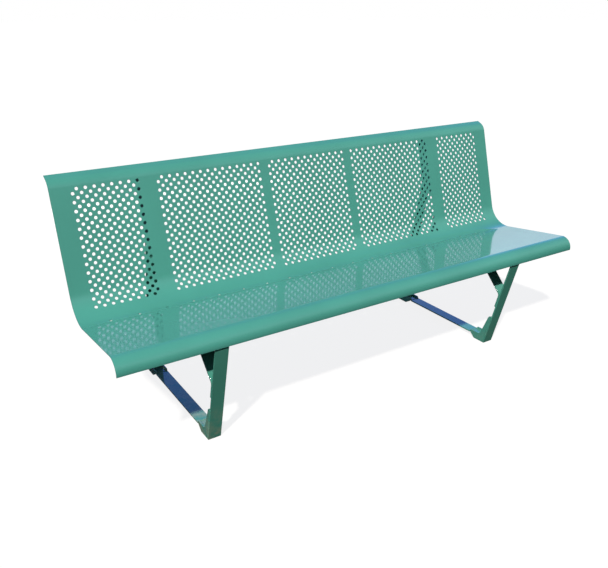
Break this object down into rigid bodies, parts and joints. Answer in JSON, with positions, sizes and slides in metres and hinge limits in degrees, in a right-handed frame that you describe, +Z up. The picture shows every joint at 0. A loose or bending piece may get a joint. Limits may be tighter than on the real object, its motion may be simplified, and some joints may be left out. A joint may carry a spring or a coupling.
{
  "type": "park bench",
  "caption": "Long street bench with a back: a bent perforated sheet-metal seat and back with rolled edges, carried on two flat-bar frames with runners.",
  "frame": {"origin": "on the ground, at the centre of the bounding box's bottom face", "axes": "+X along the bench, to the sitter's left; +Y to the rear, behind the back; +Z up"},
  "size_m": [2, 0.6908, 0.8682],
  "materials": {
    "sheet_paint": "gloss green powder coat",
    "frame_paint": "gloss green powder coat",
    "zinc": "zinc plated"
  },
  "bodies": {
    "root": {"seat_back_sheet": "sheet_paint", "left_front_leg": "frame_paint", "left_rear_leg": "frame_paint", "left_diagonal_brace": "frame_paint", "left_runner": "frame_paint", "left_front_foot": "frame_paint", "left_rear_foot": "frame_paint", "left_seat_cradle": "frame_paint", "left_back_channel": "frame_paint", "left_frame_bolts": "zinc", "left_frame_nuts": "zinc", "left_frame_washers": "zinc", "right_front_leg": "frame_paint", "right_rear_leg": "frame_paint", "right_diagonal_brace": "frame_paint", "right_runner": "frame_paint", "right_front_foot": "frame_paint", "right_rear_foot": "frame_paint", "right_seat_cradle": "frame_paint", "right_back_channel": "frame_paint", "right_frame_bolts": "zinc", "right_frame_nuts": "zinc", "right_frame_washers": "zinc"}
  },
  "joints": []
}
